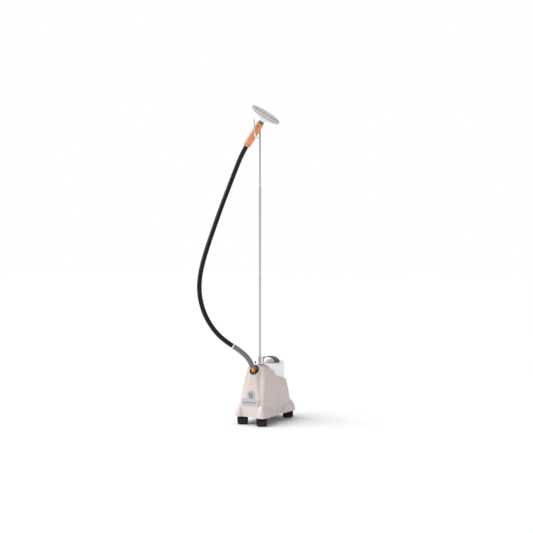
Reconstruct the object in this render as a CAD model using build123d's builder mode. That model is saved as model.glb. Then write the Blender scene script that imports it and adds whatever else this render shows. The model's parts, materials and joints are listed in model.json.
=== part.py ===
from build123d import *
import math
import os

# Upright steam cleaner for clothes: a wheeled boiler base, a pole with a hook, and a wooden-handled
# steam head on a flexible hose. Millimetres, +X to the right seen from the front, front towards -Y,
# +Z up. The origin is the foot of the pole's axis on the floor.

# ---- driving dimensions ----
wall = 3.0                       # thickness of the moulded housing
skirt_z = 42.0                   # height of the housing's lower edge
section_gap = 0.3                # clearance between parts that lift apart
fit = 0.05                       # radial running clearance

# Housing sections: height, half width, front, rear, corner radius
body_sections = [
    (42, 80, -97, 202, 22),
    (95, 78, -92, 194, 18),
    (150, 74, -82, 181, 15),
    (205, 68, -70, 167, 13),
    (255, 59, -60, 161, 12),
    (306, 46, -48, 157, 12),
]
# The raised middle of the front: height, half width, front, corner radius
nose_sections = [(92, 68, -96, 14), (180, 44, -80, 20), (262, 30, -64, 26)]
# Edge of the roof seen from the side: Y, Z, from the front corner down to the rear ledge
roof_line = [(-75, 303), (-52, 298), (-12, 283), (4, 277), (31, 276), (66, 238), (185, 207)]
skirt_half = 85.0
skirt_front, skirt_rear = -106.0, 226.0
fender_top = 86.0
fender_inner, fender_outer = 38.0, 90.0
fender_spans = [(-114, 22), (150, 236)]   # front and rear fender, along Y

caster_x, caster_front_y, caster_rear_y = 58.0, -74.0, 188.0
screw_spots = [(-70.5, 20), (70.5, 20), (-70.5, 120), (70.5, 120)]
wheel_r, wheel_w = 20.0, 19.5
fork_w = 15.0                    # width of the caster body between its two wheels
trail = 14.0                     # from the swivel axis back to the axle
stem_r = 4.5
axle_r = 3.0

plate_z, plate_t = 50.0, 4.0     # base plate: underside height and thickness

boiler_y, boiler_r = 4.0, 50.0
boiler_z0, boiler_z1 = 62.0, 150.0

outlet = Vector(0, -52, 277)     # centre of the hose outlet in the raised boss
outlet_dir = Vector(0, -math.cos(math.radians(30)), math.sin(math.radians(30)))
boss_r, grommet_r = 32.5, 28.0
elbow_r = 9.0
knuckle = 0.8  # how far the elbow's round corner stands out from its two legs
hose_r, sleeve_r = 12.0, 12.8
# The hose's route, from the brass elbow to the end of the wooden handle
hose_route = [
    (-0.5, -71.8, 295.4), (-2, -88, 324), (-14, -109, 354), (-42, -137, 388), (-80, -171, 420),
    (-116, -205, 460), (-148, -232, 512), (-175, -252, 575), (-196, -261, 655), (-205, -252, 738),
    (-202, -229, 825), (-194, -194, 915), (-184, -153, 1010), (-173, -109, 1110),
    (-159, -71, 1200), (-142, -44, 1278), (-122, -29, 1342), (-99, -25, 1393),
    (-67.9, -25.4, 1437.1),
]
sleeve_run = 3                   # the grey sleeve ends half way along this run

pole_r, pole_bore_r = 6.25, 5.25
tip_r, tip_bore_r = 4.75, 3.75
pole_foot, pole_joint_1, pole_joint_2, pole_top = 206.0, 755.0, 1223.0, 1556.0
spigot = 30.0
collar_r, collar_z0, collar_z1 = 16.5, 305.0, 347.0
hook_r = 3.6
hook_z = 1480.0

lean = math.radians(38)          # the hung handle leans this far from upright
grip_dir = Vector(math.sin(lean), 0, math.cos(lean))
grip_mid = Vector(0, -25.4, 1524)          # where the handle's axis crosses the hook
grip_low, grip_high, grip_r = -109.0, 32.0, 19.0
tube_r = 8.0
spread = math.radians(34)        # turn of the head's long axis about the handle
head_long = Vector(math.cos(spread) * math.cos(lean), math.sin(spread),
                   -math.cos(spread) * math.sin(lean))
face_tilt = math.radians(22)
head_side = head_long.cross(grip_dir)
head_dir = grip_dir * math.cos(face_tilt) + head_side * math.sin(face_tilt)
head_mid = Vector(57, -35.5, 1588.5)
head_a, head_b = 83.0, 31.0      # half lengths of the oval face
hole_count, hole_pitch, hole_r = 6, 21.5, 2.6

bottle_z0, bottle_z1 = 190.0, 299.0
bottle_outline = [(-50, 38.5), (50, 38.5), (59, 96), (59, 158), (-59, 158), (-59, 96)]
bottle_wall = 2.2
hump_y, hump_z = 121.0, 324.0    # raised rear part of the bottle
neck_y, neck_r = 110.0, 22.0
cap_r = 27.0
strap_y, strap_w, strap_t = 91.0, 46.0, 3.0
strap_line = [(-51, 302.2), (-46, 317), (-28, 330), (0, 335), (28, 330), (46, 317), (51, 302.2)]

switch_x, switch_y, switch_pivot_z = -22.5, -4.0, 289.0
lever_lean = math.radians(12)

os.makedirs("parts", exist_ok=True)


def save(name, piece):
    """Label a finished piece and write its STEP file."""
    piece.label = name
    export_step(piece, f"parts/{name}.step")


def bend_radii(route):
    """The largest even bend at each corner of a route."""
    radii = []
    for before, corner, after in zip(route, route[1:], route[2:]):
        a, b = Vector(*corner) - Vector(*before), Vector(*after) - Vector(*corner)
        half_turn = math.radians(a.get_angle(b)) / 2
        radii.append(0.45 * min(a.length, b.length) / math.tan(half_turn))
    return radii


def tube(route, radii, outer, inner=0.0):
    """A round tube along a route of straight runs joined by tangent arcs."""
    start = Plane(origin=route[0], z_dir=Vector(*route[1]) - Vector(*route[0]))
    with BuildPart() as piece:
        with BuildLine() as path:
            if radii:
                FilletPolyline(*route, radius=radii)
            else:
                Line(route[0], route[1])
        with BuildSketch(start):
            Circle(outer)
            if inner:
                Circle(inner, mode=Mode.SUBTRACT)
        sweep(path=path.wires()[0])
    length = path.wires()[0].length
    ratio = piece.part.volume / (math.pi * (outer**2 - inner**2) * length)
    print(f"tube {outer:.1f} mm radius, {length:.0f} mm long, volume ratio {ratio:.4f}")
    return piece.part


def ring(plane, outer, inner, thick):
    """A flat ring standing on a plane."""
    with BuildPart() as piece:
        with BuildSketch(plane):
            Circle(outer)
            Circle(inner, mode=Mode.SUBTRACT)
        extrude(amount=thick)
    return piece.part


# ---- housing: one moulded shell, open below, with a well for the water bottle ----
def body_mass(inset):
    """The tapered body, cut to the roof line; inset gives the space inside the wall."""
    with BuildPart() as mass:
        for height, half, front, rear, corner in body_sections:
            low = -2 if inset and height == skirt_z else 0
            with BuildSketch(Plane(origin=(0, (front + rear) / 2, height + low))):
                RectangleRounded(2 * (half - inset), rear - front - 2 * inset, corner - inset)
        loft()
        with BuildSketch(Plane.YZ):
            with BuildLine():
                edge = [(y, z - inset) for y, z in roof_line]
                Polyline(*edge, (185, 400), (-75, 400), close=True)
            make_face()
        extrude(amount=120, both=True, mode=Mode.SUBTRACT)
    return mass.part


def nose_mass(inset):
    """The raised middle of the front face."""
    with BuildPart() as mass:
        for height, half, front, corner in nose_sections:
            depth = 60
            middle = front + inset + depth / 2
            with BuildSketch(Plane(origin=(0, middle, height))):
                RectangleRounded(2 * (half - inset), depth, corner - inset)
        loft(ruled=True)
    return mass.part


def ridge_mass(inset):
    """The rounded ridge from the hose boss back past the pole."""
    with BuildPart() as mass:
        with BuildSketch(Plane.XZ.offset(-36 + inset)):
            with Locations((0, 271)):
                Circle(30 - inset)
        extrude(amount=76 - inset)
    return mass.part


def boss_mass(radius, front, back):
    """A cylinder on the hose outlet's axis."""
    with BuildPart() as mass:
        with BuildSketch(Plane(origin=outlet - outlet_dir * back, z_dir=outlet_dir)):
            Circle(radius)
        extrude(amount=back + front)
    return mass.part


def skirt_mass(inset):
    """The flared lower edge."""
    low = -2 if inset else 0
    with BuildPart() as mass:
        with BuildSketch(Plane(origin=(0, (skirt_front + skirt_rear) / 2, skirt_z + low))):
            RectangleRounded(2 * (skirt_half - inset), skirt_rear - skirt_front - 2 * inset, 30 - inset)
        with BuildSketch(Plane(origin=(0, 52, 80 - inset))):
            RectangleRounded(2 * (78 - inset), 288 - 2 * inset, 19 - inset)
        loft()
    return mass.part


def fender_mass(inset):
    """Four rounded fenders over the casters."""
    low = -2 if inset else 0
    with BuildPart() as mass:
        for side in (-1, 1):
            for y0, y1 in fender_spans:
                middle = (side * (fender_inner + fender_outer) / 2, (y0 + y1) / 2, skirt_z + low)
                with BuildSketch(Plane(origin=middle)):
                    RectangleRounded(fender_outer - fender_inner - 2 * inset,
                                     y1 - y0 - 2 * inset, 24 - inset)
                extrude(amount=fender_top - skirt_z - low - inset, taper=7)
        fillet(mass.faces().filter_by(Axis.Z).group_by(Axis.Z)[-1].edges(), radius=12)
    return mass.part


with BuildPart() as housing_shell:
    add(body_mass(0))
    add(nose_mass(0))
    add(ridge_mass(0))
    add(skirt_mass(0))
    add(fender_mass(0))
    add(body_mass(wall), mode=Mode.SUBTRACT)
    add(nose_mass(wall), mode=Mode.SUBTRACT)
    add(ridge_mass(wall), mode=Mode.SUBTRACT)
    add(skirt_mass(wall), mode=Mode.SUBTRACT)
    add(fender_mass(wall), mode=Mode.SUBTRACT)
    # boss for the hose, with the grommet's seat and bore, and clear space in front of it
    add(boss_mass(boss_r, 2, 14))
    add(boss_mass(grommet_r, 3, 7), mode=Mode.SUBTRACT)
    add(boss_mass(grommet_r - 6, 3, 20), mode=Mode.SUBTRACT)
    add(boss_mass(boss_r, 40, -2), mode=Mode.SUBTRACT)
    # well for the bottle
    with BuildSketch(Plane.XY.offset(182)):
        with BuildLine():
            Polyline(*bottle_outline, close=True)
        make_face()
        offset(amount=1.2, kind=Kind.INTERSECTION)
    extrude(amount=150, mode=Mode.SUBTRACT)
    # posts that the base screws bite into, moulded against the side walls
    with BuildSketch(Plane.XY.offset(plate_z + plate_t)):
        with Locations(*screw_spots):
            Circle(7)
    extrude(amount=34)
    with BuildSketch(Plane.XY.offset(plate_z + plate_t)):
        with Locations(*screw_spots):
            Circle(2.05)
    extrude(amount=20, mode=Mode.SUBTRACT)
    # hole for the pole socket, hole for the switch, hole for the mains gland
    with BuildSketch(Plane.XY.offset(285)):
        Circle(9.1)
    extrude(amount=40, mode=Mode.SUBTRACT)
    with BuildSketch(Plane.XY.offset(255)):
        with Locations((switch_x, switch_y)):
            Circle(6.1)
    extrude(amount=60, mode=Mode.SUBTRACT)
    with BuildSketch(Plane.XZ.offset(-170)):
        with Locations((0, 110)):
            Circle(8.1)
    extrude(amount=-60, mode=Mode.SUBTRACT)
save("housing_shell", housing_shell.part)


# ---- base plate and its fixings ----
caster_spots = [
    ("fl", -caster_x, caster_front_y, -58), ("fr", caster_x, caster_front_y, -58),
    ("rl", -caster_x, caster_rear_y, 70), ("rr", caster_x, caster_rear_y, 122),
]                                # name, X, Y and the way the caster trails, in degrees from +X

with BuildPart() as base_plate:
    with BuildSketch(Plane(origin=(0, 52, plate_z))):
        RectangleRounded(152, 284, 18)
    extrude(amount=plate_t)
    with BuildSketch(Plane.XY.offset(plate_z)):
        for _, x, y, _ in caster_spots:
            with Locations((x, y)):
                Circle(8.5)
        with Locations(*screw_spots):
            Circle(2.2)
    extrude(amount=plate_t, mode=Mode.SUBTRACT)
save("base_plate", base_plate.part)

with BuildPart() as caster_sockets:
    for _, x, y, _ in caster_spots:
        with BuildSketch(Plane(origin=(x, y, plate_z))):
            Circle(8.4)
            Circle(stem_r + fit, mode=Mode.SUBTRACT)
        extrude(amount=26)
        with BuildSketch(Plane(origin=(x, y, plate_z - 2))):
            Circle(11)
            Circle(stem_r + fit, mode=Mode.SUBTRACT)
        extrude(amount=2)
save("caster_sockets", caster_sockets.part)

with BuildPart() as base_screws:
    for x, y in screw_spots:
        with BuildSketch(Plane(origin=(x, y, plate_z - 2))):
            Circle(4)
        extrude(amount=2)
        with BuildSketch(Plane(origin=(x, y, plate_z))):
            Circle(2)
        extrude(amount=20)
save("base_screws", base_screws.part)

# ---- casters: a swivelling body, an axle and two wheels at each corner ----
for name, x, y, heading in caster_spots:
    turn = math.radians(heading)
    back = Vector(math.cos(turn), math.sin(turn), 0)
    across = Vector(-math.sin(turn), math.cos(turn), 0)
    axle_mid = Vector(x, y, wheel_r) + back * trail
    side_plane = Plane(origin=axle_mid, x_dir=-back, z_dir=across)

    with BuildPart() as fork:
        with BuildSketch(side_plane):
            Circle(15)
            with Locations((trail - 1, 12)):
                RectangleRounded(20, 30, 6)
        extrude(amount=fork_w / 2, both=True)
        with BuildSketch(Plane(origin=(x, y, 2 * wheel_r + 0.6))):
            Circle(12.5)
        extrude(amount=plate_z - 2 - section_gap - 2 * wheel_r - 0.6)
        with BuildSketch(Plane(origin=(x, y, 2 * wheel_r + 2))):
            Circle(stem_r)
        extrude(amount=33)
        with BuildSketch(side_plane):
            Circle(axle_r + fit)
        extrude(amount=fork_w, both=True, mode=Mode.SUBTRACT)
    save(f"caster_fork_{name}", fork.part)

    with BuildPart() as axle:
        with BuildSketch(side_plane):
            Circle(axle_r)
        extrude(amount=fork_w / 2 + wheel_w - 2, both=True)
    save(f"caster_axle_{name}", axle.part)

    with BuildPart() as wheels:
        for side in (1, -1):
            outward = across * side
            inner_face = axle_mid + outward * (fork_w / 2 + 0.6)
            with BuildPart(mode=Mode.PRIVATE) as wheel:
                with BuildSketch(Plane(origin=inner_face, z_dir=outward)):
                    Circle(wheel_r)
                extrude(amount=wheel_w)
                fillet(wheel.edges().filter_by(GeomType.CIRCLE), radius=3)
                with BuildSketch(Plane(origin=inner_face + outward * (wheel_w - 4), z_dir=outward)):
                    Circle(11)
                    Circle(6, mode=Mode.SUBTRACT)
                extrude(amount=4, mode=Mode.SUBTRACT)
                with BuildSketch(Plane(origin=inner_face, z_dir=outward)):
                    Circle(axle_r)
                extrude(amount=wheel_w - 2, mode=Mode.SUBTRACT)
            add(wheel.part)
    save(f"caster_wheels_{name}", wheels.part)

# ---- hose outlet: grommet, brass elbow, nut ----
seat = Plane(origin=outlet, z_dir=outlet_dir)
save("hose_grommet", ring(seat.offset(-7), grommet_r - 0.05, elbow_r, 8))

elbow_start = outlet - outlet_dir * 16
elbow_axis = (Vector(*hose_route[1]) - Vector(*hose_route[0])).normalized()
elbow_turn = Vector(*hose_route[0]) - elbow_axis * 12
elbow_end = Vector(*hose_route[0]) - elbow_axis * section_gap
with BuildPart() as brass_elbow:
    with BuildSketch(Plane(origin=elbow_start, z_dir=outlet_dir)):
        Circle(elbow_r)
    extrude(amount=32)
    with Locations(elbow_turn):
        Sphere(elbow_r + knuckle)
    with BuildSketch(Plane(origin=elbow_turn, z_dir=elbow_axis)):
        Circle(elbow_r)
    extrude(amount=(elbow_end - elbow_turn).length)
    with BuildSketch(seat.offset(1.2)):
        RegularPolygon(radius=12.5, side_count=6)
    extrude(amount=9)
    with BuildSketch(Plane(origin=elbow_start, z_dir=outlet_dir)):
        Circle(5)
    extrude(amount=32, mode=Mode.SUBTRACT)
    with BuildSketch(Plane(origin=elbow_turn, z_dir=elbow_axis)):
        Circle(5)
    extrude(amount=30, mode=Mode.SUBTRACT)
save("brass_elbow", brass_elbow.part)

with BuildPart() as outlet_nut:
    with BuildSketch(seat.offset(-14)):
        RegularPolygon(radius=15, side_count=6)
        Circle(elbow_r, mode=Mode.SUBTRACT)
    extrude(amount=7)
save("outlet_nut", outlet_nut.part)

# ---- steam hose and sleeve ----
route = [Vector(*point) for point in hose_route]
radii = bend_radii(hose_route)
print("hose bend radii", [round(r) for r in radii])
sleeve_end = (route[sleeve_run] + route[sleeve_run + 1]) * 0.5
hose_start = [*hose_route[:sleeve_run + 1], tuple(sleeve_end)]
hose_rest = [tuple(sleeve_end), *hose_route[sleeve_run + 1:]]
save("hose_sleeve", tube(hose_start, radii[:sleeve_run], sleeve_r))
save("steam_hose", tube(hose_rest, radii[sleeve_run:], hose_r))
hose_way = (route[sleeve_run + 1] - sleeve_end).normalized()
save("sleeve_ring", ring(Plane(origin=sleeve_end, z_dir=hose_way), 13.4, hose_r + fit, 5))

# ---- badge: a plate with an arch and a raised sign of three steam waves ----
badge_up = (Vector(0, -80, 180) - Vector(0, -96, 92)).normalized()
badge_plane = Plane(origin=Vector(0, -96, 92) + badge_up * 11.5, x_dir=(1, 0, 0),
                    z_dir=Vector(1, 0, 0).cross(badge_up))
with BuildPart() as badge_plate:
    with BuildSketch(badge_plane):
        with Locations((0, 12)):
            RectangleRounded(104, 30, 3)
        with Locations((0, 34)):
            Rectangle(44, 34)
        with Locations((0, 51)):
            Circle(22)
    extrude(amount=1.6)
save("badge_plate", badge_plate.part)

with BuildPart() as badge_emblem:
    with BuildSketch(badge_plane.offset(1.6)):
        for x in (-9, 0, 9):
            with BuildLine():
                Spline((x, 34), (x + 3, 42), (x - 3, 52), (x, 60))
            trace(line_width=3)
        with Locations((-30, 12), (-15, 12), (0, 12), (15, 12), (30, 12)):
            SlotOverall(10, 4)
    extrude(amount=0.8)
save("badge_emblem", badge_emblem.part)

# ---- pole: socket, collar, three push-fit sections, hook ----
with BuildPart() as pole_socket:
    with BuildSketch(Plane.XY.offset(pole_foot - 5)):
        Circle(9)
    extrude(amount=302 - pole_foot + 5)
    with BuildSketch(Plane.XY.offset(pole_foot)):
        Circle(pole_r + fit)
    extrude(amount=120, mode=Mode.SUBTRACT)
save("pole_socket", pole_socket.part)

with BuildPart() as pole_bush:
    with BuildSketch(Plane.XY.offset(302)):
        Circle(13)
        Circle(pole_r + fit, mode=Mode.SUBTRACT)
    extrude(amount=collar_z0 - 302)
save("pole_bush", pole_bush.part)

save("pole_collar", ring(Plane.XY.offset(collar_z0), collar_r, pole_r + fit, collar_z1 - collar_z0))


def pole_tube(low, high, outer, inner, spigot_bore):
    """A pole section with a reduced spigot below its lower end."""
    with BuildPart() as piece:
        with BuildSketch(Plane.XY.offset(low)):
            Circle(outer)
            Circle(inner, mode=Mode.SUBTRACT)
        extrude(amount=high - low)
        if spigot_bore:
            with BuildSketch(Plane.XY.offset(low - spigot)):
                Circle(pole_bore_r - fit)
                Circle(spigot_bore, mode=Mode.SUBTRACT)
            extrude(amount=spigot)
            with BuildSketch(Plane.XY.offset(low)):
                Circle(outer)
                Circle(spigot_bore, mode=Mode.SUBTRACT)
            extrude(amount=3)
    return piece.part


save("pole_lower", pole_tube(pole_foot, pole_joint_1, pole_r, pole_bore_r, 0))
save("pole_middle", pole_tube(pole_joint_1, pole_joint_2, pole_r, pole_bore_r, 3.6))

with BuildPart() as pole_upper:
    add(pole_tube(pole_joint_2, pole_top, tip_r, tip_bore_r, 3.6))
    with BuildSketch(Plane.XY.offset(pole_top)):
        Circle(tip_r)
    extrude(amount=4)
    fillet(pole_upper.faces().sort_by(Axis.Z)[-1].edges(), radius=3)
save("pole_upper", pole_upper.part)

hook_path = [(0, -tip_r + 0.4, hook_z), (0, -20, hook_z - 5), (0, -42, hook_z - 4),
             (0, -50, hook_z + 18), (0, -56, hook_z + 92)]
save("pole_hook", tube(hook_path, [20, 13, 24], hook_r))

# ---- handpiece: wooden handle, neck rings, steam tube and head ----
handle_side = Plane(origin=grip_mid, x_dir=(0, 1, 0), z_dir=Vector(0, 1, 0).cross(grip_dir))
grip_axis = Axis(origin=grip_mid, direction=grip_dir)


def along_grip(distance):
    """A plane across the handle at a distance along its axis."""
    return Plane(origin=grip_mid + grip_dir * distance, x_dir=(0, 1, 0), z_dir=grip_dir)


with BuildPart() as wood_handle:
    with BuildSketch(handle_side):
        with BuildLine():
            Polyline((tube_r, grip_high), (tube_r, grip_low), (14.5, grip_low), (17, grip_low + 3))
            Spline((17, grip_low + 3), (grip_r, -40), (grip_r, 10), (17.5, grip_high - 3))
            Polyline((17.5, grip_high - 3), (15.5, grip_high), (tube_r, grip_high))
        make_face()
    revolve(axis=grip_axis)
    screw_dir = Vector(0, -math.cos(math.radians(25)), 0)
    screw_dir += Vector(math.cos(lean), 0, -math.sin(lean)) * math.sin(math.radians(25))
    screw_mid = grip_mid + grip_dir * 15
    with BuildSketch(Plane(origin=screw_mid + screw_dir * 10, z_dir=screw_dir)):
        Circle(3.5)
    extrude(amount=20, mode=Mode.SUBTRACT)
save("wood_handle", wood_handle.part)

with BuildPart() as handle_screw:
    with BuildSketch(Plane(origin=screw_mid + screw_dir * 10, z_dir=screw_dir)):
        Circle(3.5)
    extrude(amount=8)
save("handle_screw", handle_screw.part)

save("steam_tube", ring(along_grip(grip_low + 1), tube_r - fit, 6, 52 - grip_low - 1))

with BuildPart() as neck_washer:
    with BuildSketch(handle_side):
        with BuildLine():
            Polyline((tube_r, grip_high), (16.5, grip_high), (15, 41), (tube_r, 41), close=True)
        make_face()
    revolve(axis=grip_axis)
save("neck_washer", neck_washer.part)

save("neck_ring", ring(along_grip(41), 13, tube_r, 6))

face = Plane(origin=head_mid, x_dir=head_long, z_dir=head_dir)


def head_mass(inset):
    """The steam head: a funnel from the neck to an oval rim."""
    with BuildPart() as mass:
        with BuildSketch(along_grip(47)):
            Circle(15 - inset)
        with BuildSketch(face.offset(-12)):
            Ellipse(head_a - 1 - inset, head_b - 1 - inset)
        loft()
        with BuildSketch(face.offset(-12)):
            Ellipse(head_a - 1 - inset, head_b - 1 - inset)
        extrude(amount=9)
    return mass.part


with BuildPart() as head_shell:
    add(head_mass(0))
    add(head_mass(3), mode=Mode.SUBTRACT)
    with BuildSketch(along_grip(47)):
        Circle(15)
        Circle(tube_r, mode=Mode.SUBTRACT)
    extrude(amount=3)
save("head_shell", head_shell.part)

with BuildPart() as head_gasket:
    with BuildSketch(face.offset(-3)):
        Ellipse(head_a - 2, head_b - 2)
        Ellipse(head_a - 6, head_b - 6, mode=Mode.SUBTRACT)
    extrude(amount=2)
save("head_gasket", head_gasket.part)

with BuildPart() as head_plate:
    with BuildSketch(face.offset(-1)):
        Ellipse(head_a, head_b)
    extrude(amount=4.5)
    fillet(head_plate.faces().sort_by(Axis(origin=head_mid, direction=head_dir))[-1].edges(), radius=2)
    with BuildSketch(face.offset(3.5)):
        SlotOverall(2 * head_a - 18, 2.4)
    extrude(amount=-1, mode=Mode.SUBTRACT)
    with BuildSketch(face.offset(-2)):
        with GridLocations(hole_pitch, 1, hole_count, 1):
            Circle(hole_r)
    extrude(amount=8, mode=Mode.SUBTRACT)
save("head_plate", head_plate.part)


# ---- water bottle, upside down in its well ----
def bottle_mass(inset):
    """The bottle's outer form; inset gives the space inside."""
    with BuildPart() as mass:
        with BuildSketch(Plane.XY.offset(bottle_z0 + inset)):
            with BuildLine():
                Polyline(*bottle_outline, close=True)
            make_face()
            fillet(vertices(), radius=12)
            if inset:
                offset(amount=-inset, mode=Mode.REPLACE)
        extrude(amount=bottle_z1 - bottle_z0 - 2 * inset)
        with BuildSketch(Plane.XZ.offset(-158 + inset)):
            with BuildLine():
                side = 56 - inset
                ThreePointArc((-side, 297 - inset), (0, hump_z - inset), (side, 297 - inset))
                Polyline((side, 297 - inset), (side, 280), (-side, 280), (-side, 297 - inset))
            make_face()
        extrude(amount=158 - hump_y - 2 * inset)
    return mass.part


with BuildPart() as bottle_shell:
    add(bottle_mass(0))
    with BuildSketch(Plane(origin=(0, neck_y, bottle_z0 - 26))):
        Circle(neck_r)
    extrude(amount=30)
    add(bottle_mass(bottle_wall), mode=Mode.SUBTRACT)
    with BuildSketch(Plane(origin=(0, neck_y, bottle_z0 - 26))):
        Circle(neck_r - bottle_wall)
    extrude(amount=40, mode=Mode.SUBTRACT)
save("bottle_shell", bottle_shell.part)

with BuildPart() as bottle_cap:
    with BuildSketch(Plane(origin=(0, neck_y, bottle_z0 - 32))):
        Circle(cap_r)
    extrude(amount=20)
    with BuildSketch(Plane(origin=(0, neck_y, bottle_z0 - 28))):
        Circle(neck_r + 0.3)
    extrude(amount=16, mode=Mode.SUBTRACT)
    with BuildSketch(Plane(origin=(0, neck_y, bottle_z0 - 32))):
        Circle(5)
    extrude(amount=5, mode=Mode.SUBTRACT)
    # cage over the valve, open at its sides
    with BuildSketch(Plane(origin=(0, neck_y, bottle_z0 - 28))):
        Circle(11.5)
        Circle(9.5, mode=Mode.SUBTRACT)
    extrude(amount=20)
    with BuildSketch(Plane(origin=(0, neck_y, bottle_z0 - 10))):
        Circle(11.5)
    extrude(amount=2.5)
    with BuildSketch(Plane(origin=(0, neck_y, bottle_z0 - 24))):
        Rectangle(6, 30)
        Rectangle(30, 6)
    extrude(amount=12, mode=Mode.SUBTRACT)
save("bottle_cap", bottle_cap.part)

save("cap_seal", ring(Plane(origin=(0, neck_y, bottle_z0 - 28)), neck_r - 0.5, 12, 1.7))

with BuildPart() as valve_plunger:
    with BuildSketch(Plane(origin=(0, neck_y, bottle_z0 - 36))):
        Circle(3)
    extrude(amount=12)
    with BuildSketch(Plane(origin=(0, neck_y, bottle_z0 - 27.7))):
        Circle(8)
    extrude(amount=3)
save("valve_plunger", valve_plunger.part)

with BuildPart() as valve_spring:
    with BuildLine() as coil:
        Helix(pitch=3.2, height=12.8, radius=5.5, center=(0, neck_y, bottle_z0 - 23.6))
    with BuildSketch(Plane(origin=coil.line @ 0, z_dir=coil.line % 0)):
        Circle(0.6)
    sweep(path=coil.line)
save("valve_spring", valve_spring.part)

with BuildPart() as strap_handle:
    with BuildSketch(Plane.XZ.offset(-strap_y)):
        with BuildLine():
            Spline(*strap_line)
        trace(line_width=strap_t)
    extrude(amount=strap_w / 2, both=True)
save("strap_handle", strap_handle.part)

with BuildPart() as strap_anchors:
    with BuildSketch(Plane(origin=(0, strap_y, bottle_z1))):
        with GridLocations(102, 1, 2, 1):
            RectangleRounded(9, strap_w + 3, 3)
    extrude(amount=5)
    fillet(strap_anchors.faces().sort_by(Axis.Z)[-1].edges(), radius=1.2)
save("strap_anchors", strap_anchors.part)

# ---- tray under the bottle, with the cup that its cap stands in ----
cup_r, cup_z = 36.0, 142.0
tray_z = bottle_z0 - section_gap
with BuildPart() as bottle_tray:
    with BuildSketch(Plane(origin=(0, 109, tray_z - 4))):
        RectangleRounded(124, 92, 10)
    extrude(amount=4)
    with BuildSketch(Plane(origin=(0, neck_y, cup_z))):
        Circle(cup_r + 3)
    extrude(amount=tray_z - cup_z - 1)
    with BuildSketch(Plane(origin=(0, neck_y, cup_z + 3))):
        Circle(cup_r)
    extrude(amount=60, mode=Mode.SUBTRACT)
    with BuildSketch(Plane(origin=(0, neck_y, cup_z - 1))):
        with Locations((20, 0)):
            Circle(4)
    extrude(amount=10, mode=Mode.SUBTRACT)
    with BuildSketch(Plane(origin=(0, 109, plate_z + plate_t))):
        with GridLocations(100, 66, 2, 2):
            Circle(5)
    extrude(amount=tray_z - plate_z - plate_t - 2)
    # post that lifts the bottle's valve
    with BuildSketch(Plane(origin=(0, neck_y, cup_z + 2))):
        Circle(3)
    extrude(amount=bottle_z0 - 36 - section_gap - cup_z - 2)
save("bottle_tray", bottle_tray.part)

# ---- boiler ----
with BuildPart() as boiler_tank:
    with BuildSketch(Plane(origin=(0, boiler_y, boiler_z0))):
        Circle(boiler_r)
    extrude(amount=boiler_z1 - boiler_z0)
    with BuildSketch(Plane(origin=(0, boiler_y, boiler_z0 + 3))):
        Circle(boiler_r - 3)
    extrude(amount=100, mode=Mode.SUBTRACT)
    with BuildSketch(Plane(origin=(0, boiler_y, boiler_z0))):
        with Locations((-34, 0), (34, 0)):
            Circle(4)
    extrude(amount=3, mode=Mode.SUBTRACT)
    with BuildSketch(Plane(origin=(20, boiler_y + boiler_r + 2, 82), z_dir=(0, -1, 0))):
        Circle(4)
    extrude(amount=20, mode=Mode.SUBTRACT)
    # feet on the base plate
    with BuildSketch(Plane(origin=(0, boiler_y, plate_z + plate_t))):
        with PolarLocations(42, 3, start_angle=90):
            Circle(5)
    extrude(amount=boiler_z0 - plate_z - plate_t)
save("boiler_tank", boiler_tank.part)

save("boiler_gasket", ring(Plane(origin=(0, boiler_y, boiler_z1)), boiler_r, boiler_r - 5, 2))

with BuildPart() as boiler_lid:
    with BuildSketch(Plane(origin=(0, boiler_y, boiler_z1 + 2))):
        Circle(boiler_r + 3)
    extrude(amount=5)
    with BuildSketch(Plane(origin=(0, -17, boiler_z1 + 2))):
        Circle(5)
    extrude(amount=5, mode=Mode.SUBTRACT)
save("boiler_lid", boiler_lid.part)

with BuildPart() as heating_element:
    with Locations((0, boiler_y, 80)):
        Torus(34, 4)
    with BuildSketch(Plane(origin=(0, boiler_y, boiler_z0 - 5))):
        with Locations((-34, 0), (34, 0)):
            Circle(4)
    extrude(amount=80 - boiler_z0 + 5)
save("heating_element", heating_element.part)

lid_top = boiler_z1 + 7
pipe_end = outlet - outlet_dir * 16
pipe_turn = pipe_end - outlet_dir * 24
steam_route = [(0, pipe_turn.Y, lid_top), tuple(pipe_turn), tuple(pipe_end)]
save("steam_pipe", tube(steam_route, [16], 5, 3.5))

feed_route = [(20, neck_y, cup_z), (20, neck_y, 82), (20, boiler_y + 46.5, 82)]
save("feed_tube", tube(feed_route, [20], 4, 2.5))

with BuildPart() as thermostat:
    with BuildSketch(Plane(origin=(24, 22, lid_top))):
        Circle(9)
    extrude(amount=9)
save("thermostat", thermostat.part)

with BuildPart() as terminal_block:
    with BuildSketch(Plane(origin=(0, 170, plate_z + plate_t))):
        Rectangle(34, 14)
    extrude(amount=16)
save("terminal_block", terminal_block.part)

with BuildPart() as mains_gland:
    with BuildSketch(Plane.XZ.offset(-180)):
        with Locations((0, 110)):
            Circle(8)
            Circle(4, mode=Mode.SUBTRACT)
    extrude(amount=-22)
save("mains_gland", mains_gland.part)

# ---- toggle switch beside the pole ----
with BuildPart() as switch_body:
    with BuildSketch(Plane(origin=(switch_x, switch_y, 246))):
        Rectangle(13, 26)
    extrude(amount=20)
    with BuildSketch(Plane(origin=(switch_x, switch_y, 266))):
        Circle(6)
    extrude(amount=27)
    with BuildSketch(Plane(origin=(switch_x, switch_y, 280))):
        Circle(4.6)
    extrude(amount=20, mode=Mode.SUBTRACT)
save("switch_body", switch_body.part)

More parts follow.
